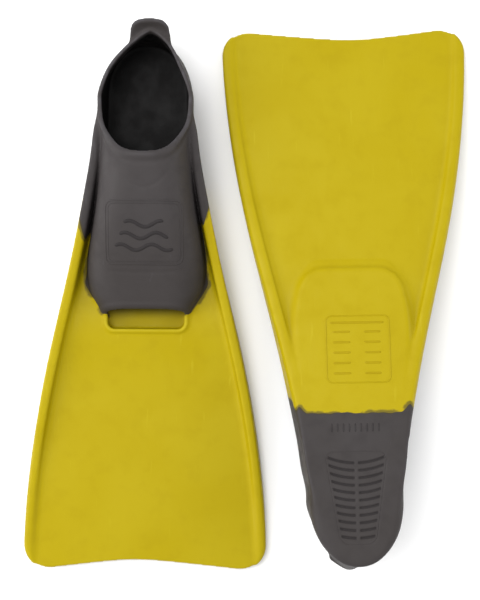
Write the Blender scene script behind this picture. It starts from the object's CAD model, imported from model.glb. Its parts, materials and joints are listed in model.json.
"""Two full-foot rubber swim fins, one lying sole down and one lying sole up.

Each fin is shaped in its own frame, in millimetres: x across the foot, y from the heel to the tip of the
blade and z up from the sole. The shape is a signed distance field, because the real fin is one moulding
whose rails, web, pocket and beads run into each other with soft fillets. The field is meshed, and cut where
the grey pocket rubber meets the yellow blade rubber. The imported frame's hinges say where each fin lies.
"""
import json
import math

import bpy
import numpy as np
from mathutils import Matrix, Vector
from mathutils.kdtree import KDTree


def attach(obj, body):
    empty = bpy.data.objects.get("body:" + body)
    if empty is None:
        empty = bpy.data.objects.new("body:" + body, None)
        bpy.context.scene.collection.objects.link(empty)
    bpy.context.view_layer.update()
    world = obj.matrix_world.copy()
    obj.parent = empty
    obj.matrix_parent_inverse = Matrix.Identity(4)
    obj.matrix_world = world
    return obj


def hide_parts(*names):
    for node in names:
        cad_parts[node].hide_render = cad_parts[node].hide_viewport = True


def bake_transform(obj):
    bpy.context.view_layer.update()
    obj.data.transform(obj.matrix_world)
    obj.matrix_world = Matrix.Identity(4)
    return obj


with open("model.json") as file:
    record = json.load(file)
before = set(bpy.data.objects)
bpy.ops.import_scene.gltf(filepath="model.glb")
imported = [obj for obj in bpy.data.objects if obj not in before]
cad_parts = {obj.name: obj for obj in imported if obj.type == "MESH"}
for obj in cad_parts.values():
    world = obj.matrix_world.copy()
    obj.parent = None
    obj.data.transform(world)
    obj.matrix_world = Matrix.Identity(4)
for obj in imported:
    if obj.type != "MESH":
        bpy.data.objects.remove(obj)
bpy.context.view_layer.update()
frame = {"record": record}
JOINTS = {joint["name"]: joint for joint in frame["record"]["behaviour"]["joints"]}

MM = 0.001
STEP = 1.25    # spacing of the field's samples

# ---- the fin's own sizes, in millimetres
TIP_Y = 480.0
TIP_CORNER = 25.0
NOTCH_X, NOTCH_DEPTH = 8.0, 10.5      # the notch in the trailing edge
NOTCH_ROUND = 22.0                    # how round its middle is
NOTCH_REACH = 88.0                    # less than the blade's half width, to allow for the rounding
FLEX = (285.0, 7.0)                   # the line across which the blade bends, as (y, z)

RAIL_BACK_Y = 58.0
RAIL_ROUND = 2.6
RAIL_DRAFT, RAIL_INNER_DRAFT = 0.1, 0.06     # slopes of the rails' sides, leaning inwards towards the sole
WEB_BACK_Y = 113.0

SOLE = 5.0                            # thickness of the sole under the foot
SOLE_HALF_DEPTH = 3.5                 # half the height of the raised sole
SOLE_JOINT_Y = 133.0                  # where the grey half of the sole ends
SOLE_BACK_HALF = 33.0
PLATE_BACK_Y, PLATE_INSET = 76.0, 5.0
TONGUE_Y = 258.0                      # front end of the raised part under the toes
TONGUE_CORNER = 18.0
HEEL_Y, HEEL_CENTRE_Y = 2.0, 60.0     # the heel's curve
HEEL_LEAN = 5.0                       # how far the heel leans to one side at the collar

WALL, HEEL_THINNING = 3.2, 0.9        # the pocket's wall, which is thinner at the heel
BELLY = 0.38                          # share of the pocket's height up to which its sides swell
SLOT_BACK_Y, SLOT_FRONT_Y, SLOT_HALF = 243.0, 262.0, 34.0
SLOT_CORNER = 6.0
SLOT_TOP_Z, SLOT_SLANT = 35.0, 0.28   # the pocket's slanting edge over the slot
SLOT_STRETCH = 1.04                   # length of that slant for each millimetre of height
LIP_HALF, LIP_RISE = 1.8, 2.0         # the raised lip round the front of the slot
COLLAR_BEAD, SLOT_BEAD = 1.4, 2.3     # radii of the beads

TAB_AXIS = (-1.7, 57.0)               # the line on which the pull tab bends, as (y, z)
TAB_X, TAB_ROOT_Y, TAB_ROOT_Z = -4.4, 3.2, 50.0
TAB_HALF, TAB_HEIGHT, TAB_CORNER = 17.6, 16.6, 9.0
TAB_HALF_THICK = 1.7
TAB_LEAN, TAB_STRETCH = 0.42, 1.09    # its slope backwards, and length of that slope for each millimetre up
TAB_PRESS = 16.0                      # how far the upturned fin's tab is pressed upright

TREAD_MIDDLE_Y, TREAD_HALF_LENGTH = 61.0, 39.0
TREAD_HALF, TREAD_FLARE, TREAD_CORNER = 15.5, 0.152, 8.0
BED_DEPTH, BED_INSET = 1.6, 1.2       # the bed under the tread pad, whose rim laps over the bed's edge


def smooth_curve(points):
    """A natural cubic spline through (place, value) points, held at its ends."""
    at, value = (np.array(column, float) for column in zip(*points))
    gap = np.diff(at)
    size = len(at)
    system, right = np.eye(size), np.zeros(size)
    for i in range(1, size - 1):
        system[i, i - 1:i + 2] = gap[i - 1], 2 * (gap[i - 1] + gap[i]), gap[i]
        right[i] = 6 * ((value[i + 1] - value[i]) / gap[i] - (value[i] - value[i - 1]) / gap[i - 1])
    bend = np.linalg.solve(system, right)

    def curve(y):
        y = np.clip(y, at[0], at[-1])
        i = np.clip(np.searchsorted(at, y) - 1, 0, size - 2)
        left, rest = y - at[i], at[i + 1] - y
        return (
            (bend[i] * rest**3 + bend[i + 1] * left**3) / (6 * gap[i])
            + (value[i] / gap[i] - bend[i] * gap[i] / 6) * rest
            + (value[i + 1] / gap[i] - bend[i + 1] * gap[i] / 6) * left
        )

    return curve


# ---- the fin's lines along its length, each as (y, value)
edge_half = smooth_curve([
    (50, 32.5), (66, 38.5), (80, 43.4), (106, 47.6), (132, 52), (205, 67), (303, 89.5), (404, 104.3),
    (449, 107), (480, 107.3),
])
rail_width = smooth_curve([(80, 6), (127, 8), (205, 9), (303, 9), (404, 7.5), (480, 6)])
rail_top = smooth_curve([(60, 50), (108, 45), (205, 31), (285, 22), (390, 13.6), (455, 9.3), (480, 7.4)])
rail_foot = smooth_curve([(60, 0), (285, 0), (340, 1), (455, 4), (480, 5)])
web_top = smooth_curve([
    (60, 9), (127, 9), (150, 9), (186, 10.5), (230, 13.5), (262, 15), (285, 12.2), (315, 9.4), (350, 8.5),
    (480, 7.4),
])
sole_half = smooth_curve([
    (0, 32), (60, 34), (80, 36.5), (95, 38.5), (150, 41), (180, 45), (205, 47.5), (225, 46.5), (243, 43.5),
    (270, 39.5),
])
pocket_half = smooth_curve([
    (60, 42.3), (80, 42), (95, 41.7), (118, 42.3), (150, 44.8), (180, 49.5), (205, 52.8), (225, 51.3),
    (235, 47.5), (243, 42.5), (252, 38),
])
pocket_foot = smooth_curve([(60, 0.9), (118, 0.945), (180, 0.94), (225, 0.91), (252, 0.95)])
pocket_height = smooth_curve([
    (60, 110), (72, 104), (80, 96), (88, 85), (96, 78.8), (106, 76.3), (118, 72.5), (150, 65), (180, 56),
    (205, 48), (225, 41.5), (243, 35.5), (252, 31.5),
])
shoulder = smooth_curve([(60, 3.3), (80, 2.8), (95, 2.4), (110, 2.5), (130, 3.3), (150, 3.8), (252, 3.6)])
collar_line = smooth_curve([
    (-12, 61), (5, 58), (30, 53), (60, 50.5), (82, 53), (94, 60), (103, 67), (112, 74.5), (124, 85),
    (160, 116),
])


def soft_min(a, b, k):
    """The union of two fields, with a fillet between them."""
    h = np.clip(0.5 + 0.5 * (b - a) / k, 0, 1)
    return b + (a - b) * h - k * h * (1 - h)


def soft_max(a, b, k):
    """Where two fields both hold, with the corner between them softened."""
    return -soft_min(-a, -b, k)


def round_max(a, b, radius):
    """Where two fields both hold, with the corner between them rounded to a radius."""
    u, v = a + radius, b + radius
    return np.minimum(np.maximum(u, v), 0) + np.hypot(np.maximum(u, 0), np.maximum(v, 0)) - radius


def ramp(value, low, high):
    """Rises smoothly from 0 at low to 1 at high."""
    t = np.clip((value - low) / (high - low), 0, 1)
    return t * t * (3 - 2 * t)


def bell(away, width):
    """1 where away is 0, fading to 0 on both sides."""
    return np.exp(-((away / width) ** 2))


def power_sum(a, b, power):
    """The length of (a, b), from a diamond's at power 1 through a circle's at 2 towards a square's."""
    return (a**power + b**power) ** (1 / power)


def heel_share(y):
    """0 in front of the heel's curve, rising to 1 at the back of the heel."""
    return np.clip(HEEL_CENTRE_Y - y, 0, None) / (HEEL_CENTRE_Y - HEEL_Y)


def blade_field(x, y, z):
    """The web, with the notch in its trailing edge, and the two rails."""
    aside, half, crown, top = np.abs(x), edge_half(y), rail_top(y), web_top(y)
    lean = np.hypot(x - NOTCH_X, NOTCH_ROUND) - NOTCH_ROUND
    notch = NOTCH_DEPTH * lean / (NOTCH_REACH - NOTCH_X * np.sign(x - NOTCH_X))
    tip_line = TIP_Y - NOTCH_DEPTH + notch
    plan = round_max(aside - half, y - tip_line, TIP_CORNER)

    middle, thick = (top + SOLE) / 2, (top - SOLE) / 2
    web = round_max(plan + RAIL_DRAFT * np.clip(crown - 8, 0, 40), np.abs(z - middle) - thick, 1.1)
    web = soft_max(web, WEB_BACK_Y - y, 4)

    outside = plan + RAIL_DRAFT * np.clip(crown - z, 0, 40)
    inside = half - rail_width(y) - aside - RAIL_INNER_DRAFT * (crown - z)
    rail = round_max(np.maximum(outside, inside), z - crown, RAIL_ROUND)
    rail = soft_max(rail, rail_foot(y) - z, 2.5)
    rail = soft_max(rail, RAIL_BACK_Y - y, 8)
    return soft_min(web, rail, 6)


def sole_fields(x, y, z):
    """The tongue of the sole under the foot, and the plate as wide as the rails behind the joint."""
    slab = np.abs(z - SOLE_HALF_DEPTH) - SOLE_HALF_DEPTH
    reach = power_sum(np.abs(x), heel_share(y) * SOLE_BACK_HALF, 2.3)
    tongue = round_max(reach - sole_half(y), y - TONGUE_Y, TONGUE_CORNER)
    plate = round_max(np.abs(x) - edge_half(y) + PLATE_INSET, y - SOLE_JOINT_Y - 8, 6)
    plate = np.maximum(plate, PLATE_BACK_Y - y)
    return round_max(tongue, slab, 3), round_max(plate, slab, 3)


def pocket_skin(x, y, z):
    """The distance outside the foot pocket: an arch with round shoulders and a pointed heel."""
    rise = np.clip(z, 0, None) / pocket_height(y)
    swell = np.where(rise < BELLY, 1 - (1 - pocket_foot(y)) * (1 - rise / BELLY) ** 2, 1.0)
    lean = HEEL_LEAN * ramp(38 - y, 0, 34) * ramp(z, 8, 50)
    back = heel_share(y) * pocket_half(y) / (1 + 0.038 * ramp(z, 30, 55))
    reach = power_sum(np.abs(x + lean), back, 2.3 - 0.85 * ramp(z, 0, 36))
    arch = (reach / (pocket_half(y) * swell)) ** shoulder(y) + rise**3 - 1
    steepness = np.sqrt(sum(part * part for part in np.gradient(arch, STEP)))
    return arch / np.maximum(steepness, 0.004)


def above_collar(y, z):
    """The distance above the edge of the collar."""
    slope = np.gradient(collar_line(y.ravel()), STEP).reshape(y.shape)
    return (z - collar_line(y)) / np.hypot(1, slope)


def past_toes(y, z):
    """The distance in front of the slanting edge of the pocket over the slot."""
    return (y - SLOT_BACK_Y - SLOT_SLANT * (SLOT_TOP_Z - z)) / SLOT_STRETCH


def crease(x, y, collar):
    """How far the top of the pocket is pressed in: soft lines left by moulding and by wear."""
    under_bead = 0.75 * bell(collar + 6.3, 1.5) * ramp(y, 84, 96)
    toes = 0.5 * bell(y - 212.5 + (x / 26) ** 2, 1.4) * (1 - ramp(np.abs(x), 26, 34))
    arc = 0.4 * bell(y - 140 + (x / 5.6) ** 2, 1.6) * (1 - ramp(np.abs(x), 17, 24))
    return under_bead + toes + arc


def tread_edge(x, y):
    """The distance outside the outline of the tread pad under the heel."""
    aside = np.abs(x) - TREAD_HALF - TREAD_FLARE * (y - 26)
    return round_max(aside, np.abs(y - TREAD_MIDDLE_Y) - TREAD_HALF_LENGTH, TREAD_CORNER)


def tab_field(x, y, z):
    """The pull tab, curved round the back of the collar."""
    aside, up = np.abs(x - TAB_X), z - TAB_ROOT_Z
    bow = 38 * ((np.hypot(aside, 3) / 42) ** 1.45 - 0.022) * (1 - 0.75 * ramp(up, 0, 15))
    through = (y - TAB_ROOT_Y - bow + TAB_LEAN * up) / TAB_STRETCH
    tab = round_max(aside - TAB_HALF + 0.1 * np.clip(up - 4, 0, None), up - TAB_HEIGHT, TAB_CORNER)
    tab = round_max(tab, np.abs(through) - TAB_HALF_THICK - 1.6 * ramp(9 - up, 0, 9), 1.5)
    return soft_max(tab, -up, 2)


def grey_field(x, y, z, outer, toe_edge, slot_bead):
    """Under 0 in the grey rubber: the heel half of the fin, the pocket's shell and the slot's bead."""
    inset = edge_half(y) - np.abs(x)
    wave = 1.1 * np.sin(x * 0.23 + 0.6) + 0.7 * np.sin(x * 0.61 + 2.0) + 0.8 * np.sin(z * 0.45 + x * 0.1)
    wave = wave * (0.35 + 0.65 * ramp(z, 2, 6))
    inward = np.clip(inset, 0, 19) * ramp(z, 3, 9)
    uneven = (5.5 + 6.5 * np.tanh(x / 20)) * ramp(z, 8, 20)
    drawn_out = 6.5 * bell(inset - 6, 3.2) * (1 - ramp(z, 4, 10))
    heel_half = y - SOLE_JOINT_Y - 0.55 * z - 2.4 * inward - uneven - drawn_out + wave
    flash = 0.9 + 0.25 * wave + 2.2 * bell(y - 222, 6)
    shell = np.maximum(np.maximum(outer - flash, toe_edge - 1.0), SOLE + 0.8 - z)
    return np.minimum(np.minimum(heel_half, shell), slot_bead - 0.5)


def fin_fields(x, y, z):
    """The fin's field, the field that is under 0 in the grey rubber, and how shut in each place is."""
    outer, collar, toe_edge = pocket_skin(x, y, z), above_collar(y, z), past_toes(y, z)
    tongue, plate = sole_fields(x, y, z)
    body = soft_min(blade_field(x, y, z), tongue, 11)
    body = soft_min(body, plate, 3)

    # the foot pocket, cut off at the collar and over the slot
    pocket = soft_max(soft_max(outer + crease(x, y, collar), collar, 1.0), toe_edge, 1.0)
    pocket = soft_max(pocket, -z, 7)
    body = soft_min(body, pocket, 4)

    # the hollow for the foot, the slot in front of the toes and the slot's lip
    wall = WALL - HEEL_THINNING * ramp(HEEL_CENTRE_Y - y, 0, 40)
    hollow = soft_max(soft_max(outer + wall, toe_edge - 1.5, 1), SOLE - z, 3)
    opening = round_max(np.abs(x) - SLOT_HALF, y - SLOT_FRONT_Y, SLOT_CORNER)
    slot = np.maximum(soft_max(opening, SOLE - z, 2), np.maximum(z - 40, -toe_edge - 2))
    lip = round_max(np.abs(opening - LIP_HALF) - LIP_HALF, z - web_top(y) - LIP_RISE, 1.5)
    lip = np.maximum(np.maximum(lip, SLOT_BACK_Y + 3 - y), SOLE - z)
    body = soft_min(body, lip, 2.5)
    body = soft_max(body, -np.minimum(hollow, slot), 1.2)

    # a flat underside, with a shallow bed for the tread under the heel
    body = soft_max(body, -z, 1)
    body = soft_max(body, -np.maximum(tread_edge(x, y) + BED_INSET, z - BED_DEPTH), 0.5)

    # beads round the collar and over the slot, and the pull tab
    wall_middle = outer + wall / 2
    collar_bead = np.hypot(wall_middle, collar + COLLAR_BEAD) - COLLAR_BEAD - 0.6 * ramp(y, 20, 90)
    slot_bead = np.maximum(np.hypot(wall_middle, toe_edge + 1.4) - SLOT_BEAD, 8 - z)
    body = soft_min(body, collar_bead, 1.2)
    body = soft_min(body, slot_bead, 1.2)
    body = soft_min(body, tab_field(x, y, z), 3)

    # how far inside the foot pocket a place is, from 0 to 1
    shade = ramp(-outer, 1.6, 2.6) * ramp(-collar, 1, 14) * ramp(-toe_edge, -6, 16) * ramp(z, 3.6, 4.8)
    return body, grey_field(x, y, z, outer, toe_edge, slot_bead), shade


def surface_net(field, origin, step):
    """The surface where the field is 0, as vertices and quads, one vertex in each cell that it crosses."""
    corners = [(i, j, k) for i in (0, 1) for j in (0, 1) for k in (0, 1)]
    inside = field < 0
    count = np.zeros([n - 1 for n in field.shape], np.int8)
    for i, j, k in corners:
        count += inside[i:inside.shape[0] - 1 + i, j:inside.shape[1] - 1 + j, k:inside.shape[2] - 1 + k]
    cells = np.argwhere((count > 0) & (count < 8))
    index = np.full(count.shape, -1, np.int32)
    index[tuple(cells.T)] = np.arange(len(cells))
    value = {c: field[tuple((cells + c).T)] for c in corners}
    total, hits = np.zeros((len(cells), 3)), np.zeros(len(cells))
    for a in corners:
        for axis in range(3):
            if a[axis] == 0:
                b = tuple(c + (n == axis) for n, c in enumerate(a))
                crosses = (value[a] < 0) != (value[b] < 0)
                share = np.where(crosses, value[a] / np.where(crosses, value[a] - value[b], 1), 0)
                point = np.array(a, float) + share[:, None] * (np.array(b) - a)
                total += point * crosses[:, None]
                hits += crosses
    vertices = origin + step * (cells + total / hits[:, None])
    quads = []
    for axis in range(3):
        u, v = (axis + 1) % 3, (axis + 2) % 3
        near = [slice(None)] * 3
        far = [slice(None)] * 3
        near[axis], far[axis] = slice(0, -1), slice(1, None)
        for n in (u, v):
            near[n] = far[n] = slice(1, -1)
        low, high = inside[tuple(near)], inside[tuple(far)]
        edges = np.argwhere(low != high)
        flip = low[tuple(edges.T)]
        edges[:, u] += 1
        edges[:, v] += 1
        ring = []
        for du, dv in ((-1, -1), (0, -1), (0, 0), (-1, 0)):
            cell = edges.copy()
            cell[:, u] += du
            cell[:, v] += dv
            ring.append(index[tuple(cell.T)])
        ring = np.stack(ring, 1)
        ring[~flip] = ring[~flip][:, ::-1]
        quads.append(ring)
    return vertices, np.concatenate(quads)


def around(values, quads):
    """The mean of the values at each vertex's neighbours."""
    starts = np.concatenate([quads[:, n] for n in range(4)])
    ends = np.concatenate([quads[:, (n + 1) % 4] for n in range(4)])
    degree = np.bincount(starts, minlength=len(values))[:, None]
    totals = [np.bincount(starts, values[ends, n], len(values)) for n in range(values.shape[1])]
    return np.stack(totals, 1) / degree


def relax(vertices, quads, rounds):
    """Evens the vertices out without shrinking the shape."""
    for weight in (0.5, -0.52) * rounds:
        vertices = vertices + weight * (around(vertices, quads) - vertices)
    return vertices


def bulge(vertices, quads):
    """How round each vertex's neighbourhood is, per millimetre: over 0 on edges, under 0 in corners."""
    a, b, c, d = (vertices[quads[:, n]] for n in range(4))
    faces = np.cross(c - a, d - b)
    normals = np.stack([
        sum(np.bincount(quads[:, n], faces[:, axis], len(vertices)) for n in range(4)) for axis in range(3)
    ], 1)
    normals /= np.linalg.norm(normals, axis=1)[:, None]
    bend = np.sum((vertices - around(vertices, quads)) * normals, 1, keepdims=True) * 2 / STEP**2
    for _ in range(3):
        bend = (bend + around(bend, quads)) / 2
    return bend


def sample(field, origin, step, points):
    """The field's value at points between the grid's samples."""
    place = (points - origin) / step
    low = np.clip(np.floor(place).astype(int), 0, np.array(field.shape) - 2)
    part = place - low
    total = np.zeros(len(points))
    for i in (0, 1):
        for j in (0, 1):
            for k in (0, 1):
                share = (
                    (part[:, 0] if i else 1 - part[:, 0])
                    * (part[:, 1] if j else 1 - part[:, 1])
                    * (part[:, 2] if k else 1 - part[:, 2])
                )
                total += share * field[low[:, 0] + i, low[:, 1] + j, low[:, 2] + k]
    return total


NEAREST_CUT = 0.04                    # share of an edge that a cut leaves at either end


def split(points, quads):
    """The mesh cut where the points' last column is 0: (points, faces under 0, faces over 0)."""
    level = points[:, -1]
    new_points = []
    signs = level[quads] < 0
    every, none = signs.all(1), ~signs.any(1)
    under = [tuple(q) for q in quads[every]]
    over = [tuple(q) for q in quads[none]]
    cut = {}

    def crossing(a, b):
        key = (min(a, b), max(a, b))
        if key not in cut:
            share = level[key[0]] / (level[key[0]] - level[key[1]])
            share = min(max(share, NEAREST_CUT), 1 - NEAREST_CUT)
            cut[key] = len(points) + len(new_points)
            new_points.append(points[key[0]] + share * (points[key[1]] - points[key[0]]))
        return cut[key]

    for quad in quads[~(every | none)]:
        halves = ([], [])
        for a, b in zip(quad, np.roll(quad, -1)):
            halves[0 if level[a] < 0 else 1].append(a)
            if (level[a] < 0) != (level[b] < 0):
                middle = crossing(a, b)
                halves[0].append(middle)
                halves[1].append(middle)
        for faces, half in zip((under, over), halves):
            if len(half) >= 3:
                faces.append(tuple(half))
    return np.concatenate([points, new_points]), under, over


def fin_frame(foot):
    """The matrix from a fin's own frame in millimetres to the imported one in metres, from its hinge lines."""
    flex, tab = JOINTS[f"{foot}_blade_flex"], JOINTS[f"{foot}_tab_flex"]
    axis = np.array(flex["axis"])
    span = np.array(tab["pos_m"]) - flex["pos_m"]
    first = span / np.linalg.norm(span)
    second = np.cross(axis, first)
    angle = math.atan2(TAB_AXIS[1] - FLEX[1], TAB_AXIS[0] - FLEX[0])
    along = math.cos(angle) * first - math.sin(angle) * second
    up = math.sin(angle) * first + math.cos(angle) * second
    across = axis if foot == "left" else -axis
    origin = np.array(flex["pos_m"]) - MM * (FLEX[0] * along + FLEX[1] * up)
    matrix = Matrix.Identity(4)
    for row in range(3):
        matrix[row][:] = MM * across[row], MM * along[row], MM * up[row], origin[row]
    return matrix


def add_mesh(name, vertices, faces, matrix, **marks):
    """A smooth mesh from a fin's own frame, which keeps its place there and its marks as attributes."""
    vertices = np.asarray(vertices, float)
    used = np.unique(np.concatenate([np.asarray(face) for face in faces]))
    new_index = np.zeros(len(vertices), int)
    new_index[used] = np.arange(len(used))
    own = vertices[used]
    placed = own @ np.array(matrix.to_3x3()).T + np.array(matrix.translation)
    turn = -1 if matrix.determinant() < 0 else 1
    mesh = bpy.data.meshes.new(name)
    mesh.from_pydata(placed.tolist(), [], [new_index[list(face)][::turn].tolist() for face in faces])
    place = mesh.attributes.new("place", "FLOAT_VECTOR", "POINT")
    place.data.foreach_set("vector", (own * MM).ravel())
    for mark, values in marks.items():
        attribute = mesh.attributes.new(mark, "FLOAT", "POINT")
        attribute.data.foreach_set("value", np.asarray(values, float)[used])
    mesh.shade_smooth()
    piece = bpy.data.objects.new(name, mesh)
    bpy.context.collection.objects.link(piece)
    return piece


def surface_at(field, x, y, start, stop):
    """The height at which a line at (x, y), going up or down from start to stop, meets the fin."""
    heights = np.arange(start, stop, math.copysign(0.5, stop - start))
    points = np.stack(np.broadcast_arrays(x[:, None], y[:, None], heights), -1).reshape(-1, 3)
    values = sample(field, ORIGIN, STEP, points).reshape(len(x), len(heights))
    hit = np.maximum(np.argmax(values < 0, axis=1), 1)
    rows = np.arange(len(x))
    before, after = values[rows, hit - 1], values[rows, hit]
    return heights[hit - 1] + (heights[hit] - heights[hit - 1]) * before / (before - after)


def even_line(points, spacing):
    """The points of a line, evenly spaced."""
    points = np.array(points, float)
    length = np.concatenate([[0], np.cumsum(np.linalg.norm(np.diff(points, axis=0), axis=1))])
    at = np.linspace(0, length[-1], max(int(round(length[-1] / spacing)), 2) + 1)
    return np.stack([np.interp(at, length, points[:, n]) for n in range(2)], 1)


RIDGE_STEP = 0.8                      # spacing of a ridge's cross-sections
RIDGE_FOOT = 1.2                      # how deep a ridge is sunk, as a share of its height


def raised_lines(field, lines, half_width, height, start, stop):
    """Round-topped ridges on the fin's skin, along lines of (x, y) points that may close on themselves."""
    vertices, faces = [], []
    up = 1 if start > stop else -1
    arc = np.linspace(0, math.pi, 7)
    across = np.concatenate([np.cos(arc), [-1.0, 1.0]])
    raised = np.concatenate([np.sin(arc), [-RIDGE_FOOT, -RIDGE_FOOT]])
    for points in lines:
        line = even_line(points, RIDGE_STEP)
        closed = np.allclose(line[0], line[-1])
        line = line[:-1] if closed else line
        if closed:
            along = np.roll(line, -1, 0) - np.roll(line, 1, 0)
            taper = np.ones(len(line))
        else:
            along = np.gradient(line, axis=0)
            end = np.linalg.norm(line - line[0], axis=1), np.linalg.norm(line - line[-1], axis=1)
            taper = np.sqrt(1 - (1 - np.clip(np.minimum(*end) / (1.5 * half_width), 0.12, 1)) ** 2)
        along /= np.linalg.norm(along, axis=1)[:, None]
        side = np.stack([along[:, 1], -along[:, 0]], 1) * up
        x = line[:, :1] + side[:, :1] * across * half_width * taper[:, None]
        y = line[:, 1:] + side[:, 1:] * across * half_width * taper[:, None]
        z = surface_at(field, x.ravel(), y.ravel(), start, stop).reshape(x.shape)
        z = z + up * (raised * height * np.where(raised > 0, taper[:, None], 1) - 0.05)
        first, count, ring = len(vertices), len(line), len(across)
        vertices.extend(np.stack([x, y, z], -1).reshape(-1, 3).tolist())
        for i in range(count if closed else count - 1):
            for j in range(ring):
                a, b = first + i * ring, first + (i + 1) % count * ring
                k = (j + 1) % ring
                faces.append((a + j, a + k, b + k, b + j))
        if not closed:
            last = first + (count - 1) * ring
            faces.append(tuple(range(first + ring - 1, first - 1, -1)))
            faces.append(tuple(range(last, last + ring)))
    return vertices, faces


def rounded_frame(x0, x1, y0, y1, radius):
    """The outline of a rectangle with rounded corners, as a closed line."""
    points = []
    for cx, cy, turn in ((x1, y1, 0), (x0, y1, 1), (x0, y0, 2), (x1, y0, 3)):
        ix = cx - math.copysign(radius, cx - (x0 + x1) / 2)
        iy = cy - math.copysign(radius, cy - (y0 + y1) / 2)
        for part in range(7):
            angle = math.pi / 2 * (turn + part / 6)
            points.append((ix + radius * math.cos(angle), iy + radius * math.sin(angle)))
    return points + points[:1]


GROOVE_ROWS, GROOVE_FIRST_Y, GROOVE_SPACING = 11, 27.5, 6.3
GROOVE_START, GROOVE_END = 2.4, 13.4  # the first row's inner and outer ends
GROOVE_FLARE = 1.02                   # how much further out the next row ends
GROOVE_BOW, GROOVE_HALF, GROOVE_DEPTH = 62, 1.45, 1.1
PAD_X, PAD_Y, PAD_STEP = (-29, 29.1), (19, 103.1), 0.5
PAD_SINK, PAD_BACK = 2.2, 2.7


def tread_pad():
    """The tread under the heel, as one closed slab that fills its bed: its points, faces and edge marks."""
    x, y = np.meshgrid(np.arange(*PAD_X, PAD_STEP), np.arange(*PAD_Y, PAD_STEP), indexing="ij")
    edge = tread_edge(x, y)
    grooves = np.zeros(x.shape)
    for row in range(GROOVE_ROWS):
        middle = GROOVE_FIRST_Y + GROOVE_SPACING * row
        arc = middle + GROOVE_BOW - np.sqrt(GROOVE_BOW**2 - x * x)
        past_end = np.abs(x) - (GROOVE_END + GROOVE_FLARE * row)
        beyond = np.maximum(np.maximum(past_end, GROOVE_START - np.abs(x)), 0)
        grooves = np.maximum(grooves, ramp(GROOVE_HALF - np.hypot(beyond, y - arc), 0, 0.9))
    depth = 0.15 * ramp(-edge, 0.6, 1.6) + PAD_SINK * ramp(edge, -0.2, 0.8) + GROOVE_DEPTH * grooves

    inside = edge < 1.4
    number = np.full(x.shape, -1)
    number[inside] = np.arange(inside.sum())
    face = np.stack([x[inside], y[inside], np.minimum(depth, PAD_SINK)[inside]], 1)
    back = face.copy()
    back[:, 2] = PAD_BACK
    quad = np.stack([number[:-1, :-1], number[:-1, 1:], number[1:, 1:], number[1:, :-1]], -1).reshape(-1, 4)
    quad = quad[(quad >= 0).all(1)]
    sides = np.concatenate([np.stack([quad[:, n], quad[:, (n + 1) % 4]], 1) for n in range(4)])
    there = {tuple(side) for side in sides}
    rim = [side for side in there if side[::-1] not in there]
    count = len(face)
    walls = [(b, a, a + count, b + count) for a, b in rim]
    faces = [tuple(q) for q in quad] + [tuple(q[::-1] + count) for q in quad] + walls
    marks = np.concatenate([0.06 - 0.34 * grooves[inside], np.zeros(count)])
    return np.concatenate([face, back]), faces, marks


class Rubber:
    """A rubber material, built up node by node. Its pattern bends with the fin."""

    def __init__(self, name):
        self.material = bpy.data.materials.new(name)
        self.material.use_nodes = True
        self.tree = self.material.node_tree
        self.shader = self.tree.nodes["Principled BSDF"]
        self.place = self.node("ShaderNodeAttribute", output=1, attribute_name="place")

    def node(self, kind, inputs=(), output=0, **settings):
        made = self.tree.nodes.new(kind)
        for key, value in settings.items():
            setattr(made, key, value)
        for socket, value in dict(inputs).items():
            if isinstance(value, bpy.types.NodeSocket):
                self.tree.links.new(value, made.inputs[socket])
            else:
                made.inputs[socket].default_value = value
        return made.outputs[output]

    def mark(self, name):
        return self.node("ShaderNodeAttribute", output=2, attribute_name=name)

    def noise(self, scale, detail=2.0, stretch=(1, 1, 1), warp=0.0):
        place = self.node("ShaderNodeMapping", {"Vector": self.place, "Scale": stretch})
        inputs = {"Vector": place, "Scale": scale, "Detail": detail, "Distortion": warp}
        return self.node("ShaderNodeTexNoise", inputs)

    def span(self, value, low, high, start=0.0, end=1.0):
        inputs = {0: value, 1: low, 2: high, 3: start, 4: end}
        return self.node("ShaderNodeMapRange", inputs, interpolation_type="SMOOTHSTEP")

    def math(self, operation, a, b):
        return self.node("ShaderNodeMath", {0: a, 1: b}, operation=operation)

    def mix(self, factor, a, b):
        return self.node("ShaderNodeMix", {0: factor, 6: a, 7: b}, output=2, data_type="RGBA")

    def bump(self, height, distance, strength, normal=None):
        inputs = {"Height": height, "Distance": distance, "Strength": strength}
        if normal:
            inputs["Normal"] = normal
        return self.node("ShaderNodeBump", inputs)


DEEP_SHADE = 0.05                     # how much of the colour is left inside the foot pocket


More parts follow.
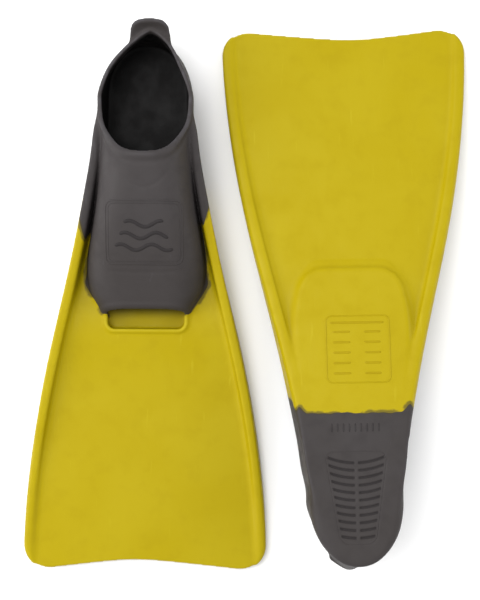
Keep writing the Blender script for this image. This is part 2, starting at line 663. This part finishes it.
def rubber(name, colour, pale, dark, stain, rough, gloss, bleed):
    """Moulded rubber, mottled and grained: pale on worn edges, dark in corners, stained at the other colour.

    The stain reaches about bleed millimetres.
    """
    r = Rubber(name)
    cloudy, mottled, grain = r.noise(11, 3, warp=0.6), r.noise(70, 5), r.noise(1500, 2)
    scuffs = r.noise(240, 2, stretch=(1, 0.09, 1))
    edge, seam, shade = r.mark("edge"), r.mark("seam"), r.mark("shade")

    tone = r.mix(r.span(cloudy, 0.35, 0.7, 0.0, 0.12), (*colour, 1), (*pale, 1))
    tone = r.mix(r.span(mottled, 0.45, 0.75, 0.0, 0.14), tone, (*dark, 1))
    tone = r.mix(r.span(scuffs, 0.68, 0.78, 0.0, 0.2), tone, (*pale, 1))
    worn = r.math("MULTIPLY", r.span(edge, 0.05, 0.34, 0.0, 0.75), r.span(mottled, 0.3, 0.6, 0.6, 1.0))
    tone = r.mix(worn, tone, (*pale, 1))
    tone = r.mix(r.span(edge, -0.04, -0.3, 0.0, 0.6), tone, (*dark, 1))
    ragged = r.math("ADD", seam, r.span(mottled, 0.25, 0.75, -bleed, bleed))
    tone = r.mix(r.span(ragged, bleed, 0.0, 0.0, 0.8), tone, (*stain, 1))
    hidden = tuple(part * DEEP_SHADE for part in colour)
    tone = r.mix(r.span(shade, 0.0, 0.8, 0.0, 0.95), tone, (*hidden, 1))

    r.tree.links.new(tone, r.shader.inputs["Base Color"])
    r.tree.links.new(r.span(mottled, 0.3, 0.7, rough - 0.07, rough + 0.09), r.shader.inputs["Roughness"])
    r.shader.inputs["Specular IOR Level"].default_value = gloss
    normal = r.bump(cloudy, 0.002, 0.15)
    normal = r.bump(mottled, 0.0005, 0.35, normal)
    normal = r.bump(grain, 0.00012, 0.5, normal)
    normal = r.bump(scuffs, 0.0002, 0.25, normal)
    r.tree.links.new(normal, r.shader.inputs["Normal"])
    return r.material


# ---- the fin, worked out once in its own frame
ORIGIN = np.array([-113.0, -16.0, -4.0])
CORNER = np.array([113.0, 484.0, 84.0])
OFF_BORDER = 0.02                     # keeps every vertex off the border of the two colours

along_x, along_y, along_z = (np.arange(low, high, STEP) for low, high in zip(ORIGIN, CORNER))
fin_body, fin_grey, fin_shade = fin_fields(
    along_x[:, None, None], along_y[None, :, None], along_z[None, None, :]
)
net, net_quads = surface_net(fin_body, ORIGIN, STEP)
net = relax(net, net_quads, 3)
level = sample(fin_grey, ORIGIN, STEP, net)
level[np.abs(level) < OFF_BORDER] = OFF_BORDER
shut_in = sample(fin_shade, ORIGIN, STEP, net)
marked = np.column_stack([net, bulge(net, net_quads), shut_in, level])
marked, grey_faces, yellow_faces = split(marked, net_quads)
seam_tree = KDTree(len(marked) - len(net))
for number, point in enumerate(marked[len(net):, :3]):
    seam_tree.insert(point, number)
seam_tree.balance()
seam = np.array([seam_tree.find(point)[2] for point in marked[:, :3]])
MARKS = {"edge": marked[:, 3], "shade": marked[:, 4], "seam": seam}
AWAY_FROM_SEAM = 50.0

# ---- relief on the pocket and on the sole
TOP_SIDE, UNDERSIDE = (80, 10), (-3.5, 6)    # heights between which the skin is looked for
WAVE_ROWS, WAVE_HALF, WAVE_SHIFT = (191, 181, 171), 25, 4
WAVE_HEIGHT, WAVE_LENGTH = 2.6, 4.3
BAR_ROWS, BAR_COLUMNS = (167, 176, 185, 194, 203), ((-17, 15), (10, 14))    # each column as (start, length)
TOP_BAR = [(-19, 211), (27, 211)]


def wave_line(row, middle):
    """One wave across the panel, shorter and further along its swing than the one nearer to the toes."""
    shift = WAVE_SHIFT * row
    places = np.arange(-WAVE_HALF + shift, WAVE_HALF + 0.1 - shift, 1.0)
    return [(x, middle + WAVE_HEIGHT * math.sin((x + shift) / WAVE_LENGTH)) for x in places]


wave_lines = [wave_line(row, middle) for row, middle in enumerate(WAVE_ROWS)]
size_bars = [[(x, y), (x + length, y)] for y in BAR_ROWS for x, length in BAR_COLUMNS] + [TOP_BAR]
sole_bars = [[(x, 117), (x, 124)] for x in range(-20, 21, 5)]

# the look, the lines, the half width and height of their ridges, the side, and how dark they are
RELIEF = {
    "panel": ("pocket", [rounded_frame(-33.5, 33.5, 151, 205.5, 6)], 0.8, 0.5, TOP_SIDE, -0.08),
    "panel_inset": ("pocket", [rounded_frame(-31, 31, 153.5, 203, 4.4)], 0.5, 0.3, TOP_SIDE, -0.1),
    "waves": ("pocket", wave_lines, 1.5, 0.75, TOP_SIDE, -0.3),
    "size_frame": ("blade", [rounded_frame(-22.8, 31.8, 159, 217, 5)], 0.6, 0.45, UNDERSIDE, -0.14),
    "size_bars": ("blade", size_bars, 1.0, 0.4, UNDERSIDE, -0.2),
    "sole_bars": ("pocket", sole_bars, 0.7, 0.4, UNDERSIDE, -0.2),
}

YELLOW = rubber(
    "blade_rubber", colour=(0.325, 0.248, 0.0002), pale=(0.45, 0.38, 0.02), dark=(0.23, 0.16, 0.0001),
    stain=(0.075, 0.06, 0.012), rough=0.46, gloss=0.1, bleed=2.6,
)
GREY = rubber(
    "pocket_rubber", colour=(0.036, 0.0315, 0.0305), pale=(0.075, 0.072, 0.08), dark=(0.013, 0.011, 0.012),
    stain=(0.04, 0.032, 0.014), rough=0.56, gloss=0.11, bleed=1.0,
)
LOOKS = {"pocket": (GREY, "pocket_rubber"), "blade": (YELLOW, "blade_rubber")}
REPLACED = {
    "pocket": "heel_cup vamp collar_rim slot_lip heel_sole pull_tab rail_rear_inner rail_rear_outer",
    "blade": (
        "toe_sole toe_lip web_root web_blade rail_front_inner rail_front_outer"
        " rail_blade_inner rail_blade_outer"
    ),
}


def give_look(piece, look):
    """Gives a piece its rubber and the name of that rubber's slot."""
    material, slot = LOOKS[look]
    piece.data.materials.append(material)


def build_fin(foot):
    """One fin: its moulding in two colours, its relief and its tread pad."""
    matrix = fin_frame(foot)
    place = marked[:, :3].copy()
    if foot == "right":
        # this fin lies on its instep, with its pull tab pressed upright
        place[:, 1] += TAB_PRESS * ramp(place[:, 2], 46, 70) * (1 - ramp(place[:, 1], 4, 24))

    pocket = add_mesh(f"{foot}_pocket", place, grey_faces, matrix, **MARKS)
    blade = add_mesh(f"{foot}_blade_moulding", place, yellow_faces, matrix, **MARKS)
    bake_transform(pocket)
    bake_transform(blade)
    for piece, look in ((pocket, "pocket"), (blade, "blade")):
        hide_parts(*[f"{foot}_{node}" for node in REPLACED[look].split()])

    details = {}
    for name, (look, lines, half_width, height, side, tint) in RELIEF.items():
        points, faces = raised_lines(fin_body, lines, half_width, height, *side)
        details[name] = look, points, faces, np.full(len(points), tint)
    details["tread"] = ("pocket", *tread_pad())
    for name, (look, points, faces, edge) in details.items():
        away = np.full(len(points), AWAY_FROM_SEAM)
        piece = add_mesh(f"{foot}_{name}", points, faces, matrix, edge=edge, seam=away)
        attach(piece, f"{foot}_fin")
        give_look(piece, look)
    give_look(pocket, "pocket")
    give_look(blade, "blade")


for foot in ("left", "right"):
    build_fin(foot)


# ---- floor, light and camera
def flat_material(name, colour, rough):
    material = bpy.data.materials.new(name)
    material.use_nodes = True
    shader = material.node_tree.nodes["Principled BSDF"]
    shader.inputs["Base Color"].default_value = (*colour, 1)
    shader.inputs["Roughness"].default_value = rough
    return material


def add_light(name, place, size, power):
    """A soft square light that faces the object."""
    light = bpy.data.lights.new(name, "AREA")
    light.size = size
    light.energy = power
    lamp = bpy.data.objects.new(name, light)
    lamp.location = place
    lamp.rotation_euler = (-Vector(place)).to_track_quat("-Z", "Y").to_euler()
    bpy.context.collection.objects.link(lamp)


FLOOR = [(-5, -5, 0), (5, -5, 0), (5, 5, 0), (-5, 5, 0)]
floor_mesh = bpy.data.meshes.new("floor")
floor_mesh.from_pydata(FLOOR, [], [(0, 1, 2, 3)])
floor_mesh.materials.append(flat_material("floor", colour=(0.9, 0.9, 0.9), rough=0.85))
floor = bpy.data.objects.new("floor", floor_mesh)
bpy.context.collection.objects.link(floor)

world = bpy.data.worlds.new("studio")
world.use_nodes = True
world.node_tree.nodes["Background"].inputs["Color"].default_value = (1, 1, 1, 1)
world.node_tree.nodes["Background"].inputs["Strength"].default_value = 0.85
bpy.context.scene.world = world
bpy.context.scene.view_settings.view_transform = "Standard"
add_light("key", place=(-0.7, 0.6, 2.1), size=1.6, power=38)
add_light("left_fill", place=(-1.7, -0.1, 0.8), size=1.1, power=22)
add_light("right_fill", place=(1.7, 0.1, 0.8), size=1.1, power=12)

# the camera looks straight down
lens = bpy.data.cameras.new("camera")
lens.lens = 86.5
camera = bpy.data.objects.new("camera", lens)
camera.location = (-0.0038, 0.0013, 1.3)
bpy.context.collection.objects.link(camera)
bpy.context.scene.camera = camera
